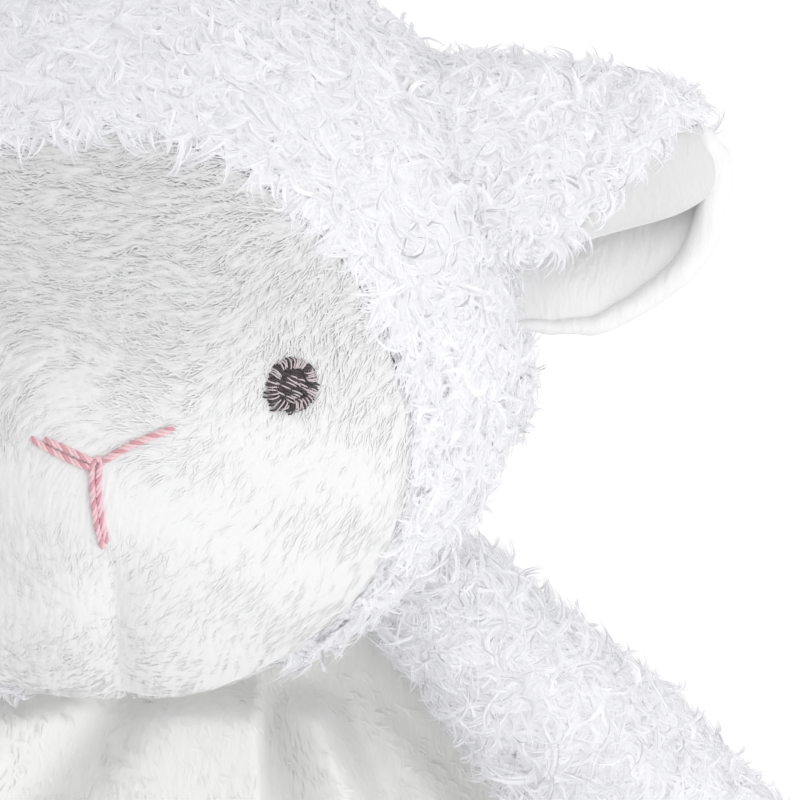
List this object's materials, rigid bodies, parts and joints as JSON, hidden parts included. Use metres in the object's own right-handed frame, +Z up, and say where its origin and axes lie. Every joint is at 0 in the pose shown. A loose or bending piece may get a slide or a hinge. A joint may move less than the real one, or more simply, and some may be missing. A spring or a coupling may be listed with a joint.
{
  "type": "sheep comfort blanket",
  "caption": "Soft sheep head with floppy ears and short furry arms sewn to the gathered corner of a plush square, for a baby to hold.",
  "frame": {"origin": "on the table under the middle of the box round the object", "axes": "+Z up, the way the face looks; +Y towards the top of the head; +X to the viewer's right"},
  "size_m": [0.337, 0.393, 0.0823],
  "materials": {
    "fur": "long curly pile",
    "face_plush": "short brushed pile",
    "lining_plush": "short brushed pile",
    "blanket_plush": "short brushed pile",
    "stuffing": "loose fibre",
    "backing": "thin felted cloth",
    "eye_thread": "satin embroidery thread",
    "mouth_thread": "satin embroidery thread",
    "sewing_thread": "plain thread"
  },
  "bodies": {
    "blanket": {"blanket_back": "blanket_plush", "blanket_front": "blanket_plush", "neck_collar": "blanket_plush", "neck_gathering_thread": "sewing_thread"},
    "head": {"head_stuffing": "stuffing", "face_backing": "backing", "face_panel": "face_plush", "head_fur_right": "fur", "head_fur_left": "fur", "face_seam_thread": "sewing_thread", "eye_right": "eye_thread", "eye_left": "eye_thread", "nose_stitch_right": "mouth_thread", "nose_stitch_left": "mouth_thread", "mouth_stitch": "mouth_thread"},
    "ear_right": {"ear_right_fur": "fur", "ear_right_lining": "lining_plush", "ear_right_flap": "fur"},
    "ear_left": {"ear_left_fur": "fur", "ear_left_lining": "lining_plush", "ear_left_flap": "fur"},
    "arm_right": {"arm_right_sleeve": "fur", "arm_right_stuffing": "stuffing"},
    "arm_left": {"arm_left_sleeve": "fur", "arm_left_stuffing": "stuffing"}
  },
  "joints": [
    {"name": "head_nod", "type": "hinge", "parent": "blanket", "child": "head", "pos_m": [0, 0.10551, 0.0083], "axis": [1, 0, 0], "range_deg": [0, 45]},
    {"name": "ear_right_flop", "type": "hinge", "parent": "head", "child": "ear_right", "pos_m": [0.0548, 0.15955, 0.04073], "axis": [0.2602, -0.9656, 0], "range_deg": [-25, 50], "stiffness_Nm_per_rad": 0.02},
    {"name": "ear_left_flop", "type": "hinge", "parent": "head", "child": "ear_left", "pos_m": [-0.0548, 0.15955, 0.04073], "axis": [0.2602, 0.9656, 0], "range_deg": [-25, 50], "stiffness_Nm_per_rad": 0.02},
    {"name": "arm_right_lift", "type": "hinge", "parent": "blanket", "child": "arm_right", "pos_m": [0.04299, 0.10876, 0.0151], "axis": [-0.7071, -0.7071, 0], "range_deg": [0, 40]},
    {"name": "arm_left_lift", "type": "hinge", "parent": "blanket", "child": "arm_left", "pos_m": [-0.04299, 0.10876, 0.0151], "axis": [-0.7071, 0.7071, 0], "range_deg": [0, 40]}
  ]
}
